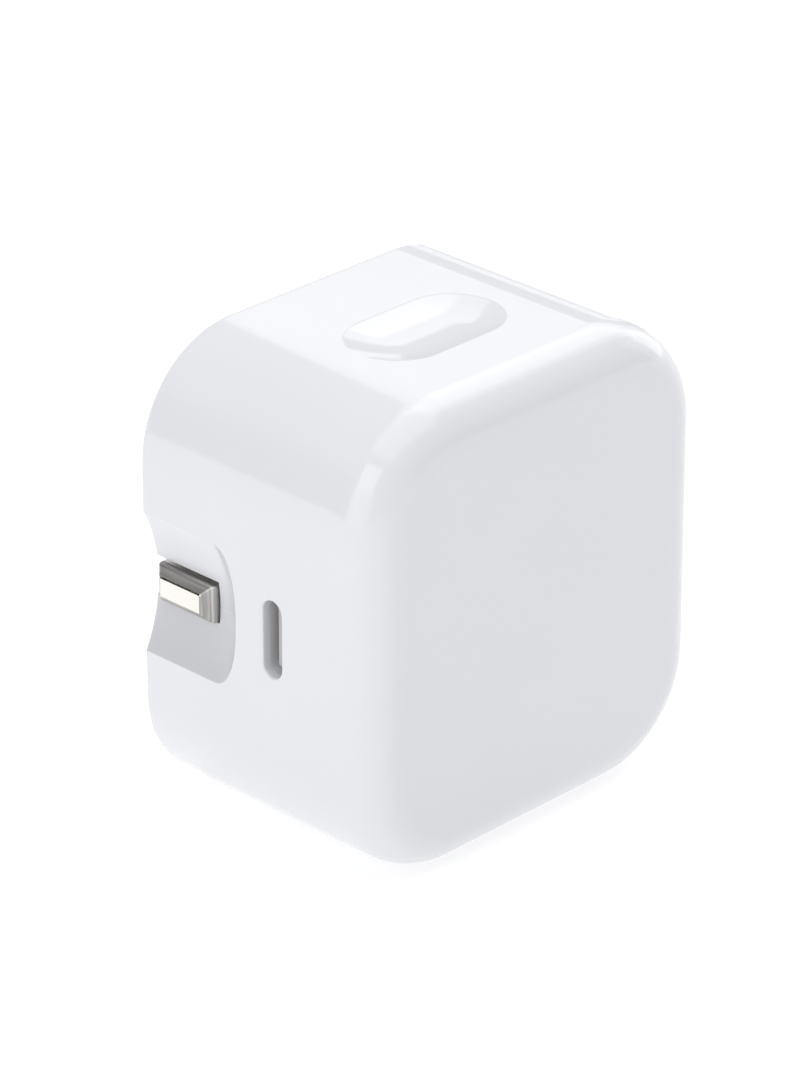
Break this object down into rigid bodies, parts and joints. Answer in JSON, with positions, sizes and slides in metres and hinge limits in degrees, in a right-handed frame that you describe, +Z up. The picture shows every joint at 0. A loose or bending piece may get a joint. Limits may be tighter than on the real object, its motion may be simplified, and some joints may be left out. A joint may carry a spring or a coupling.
{
  "type": "laptop power adapter",
  "caption": "Compact rounded wall charger with a USB-C outlet, a finger scoop, a press button and a folding three-pin plug.",
  "frame": {"origin": "centre of the bottom of the bounding box, on the surface that the charger stands on", "axes": "+Z up along the height, +Y out of the plug face, -X out of the port face, which points down when the charger is in a wall socket"},
  "size_m": [0.0474, 0.032, 0.05],
  "materials": {
    "white_gloss": "glossy white moulded polycarbonate",
    "nickel": "nickel-plated brass, smooth",
    "steel": "plain bright steel",
    "sleeve_black": "matt black insulating sleeve",
    "frame_grey": "matt grey inner moulding",
    "contact_brass": "plain brass strip",
    "contact_gold": "gold-plated contact",
    "tongue_grey": "grey moulded insulator",
    "board_green": "solder-masked board",
    "ferrite": "dull grey ferrite",
    "moulded_black": "matt black moulding",
    "tape_yellow": "yellow winding tape",
    "capacitor_sleeve": "dark shrink sleeve",
    "aluminium": "plain aluminium",
    "film_yellow": "yellow film capacitor box",
    "ceramic_blue": "blue dipped ceramic",
    "copper_wire": "enamelled copper wire",
    "film_sheet": "polyimide film"
  },
  "bodies": {
    "base": {"shell": "white_gloss", "plug_cover": "white_gloss", "earth_axle": "steel", "line_axle": "steel", "neutral_axle": "steel", "line_contact": "contact_brass", "neutral_contact": "contact_brass", "button_spring": "steel", "button_seat": "frame_grey", "usb_shell": "steel", "usb_tongue": "tongue_grey", "usb_contacts": "contact_gold", "main_board": "board_green", "transformer_core": "ferrite", "transformer_bobbin": "moulded_black", "transformer_winding": "tape_yellow", "bulk_capacitor_1": "capacitor_sleeve", "bulk_capacitor_2": "capacitor_sleeve", "output_capacitor": "aluminium", "x_capacitor": "film_yellow", "y_capacitor": "ceramic_blue", "choke_core": "ferrite", "choke_winding": "copper_wire", "fuse": "moulded_black", "bridge_rectifier": "moulded_black", "switch_chip": "moulded_black", "controller_chip": "moulded_black", "output_rectifier": "moulded_black", "insulating_sheet": "film_sheet", "heat_spreader": "aluminium"},
    "earth": {"earth_pin": "nickel", "earth_carrier": "white_gloss"},
    "line_pair": {"pin_rocker": "white_gloss", "line_pin": "nickel", "neutral_pin": "nickel", "line_sleeve": "sleeve_black", "neutral_sleeve": "sleeve_black"},
    "button_group": {"button": "white_gloss", "button_latch": "frame_grey"}
  },
  "joints": [
    {"name": "earth_fold", "type": "hinge", "parent": "base", "child": "earth", "pos_m": [0.00726, 0.00797, 0.025], "axis": [0, 0, 1], "range_deg": [-90, 0]},
    {"name": "line_fold", "type": "hinge", "parent": "base", "child": "line_pair", "pos_m": [-0.00945, 0.0108, 0.025], "axis": [0, 0, 1], "range_deg": [0, 90]},
    {"name": "button_press", "type": "slide", "parent": "base", "child": "button_group", "axis": [0, 0, -1], "range_m": [0, 0.0008], "stiffness_N_per_m": 1000, "springref_m": -0.0006, "deforming": ["button_spring"]}
  ]
}
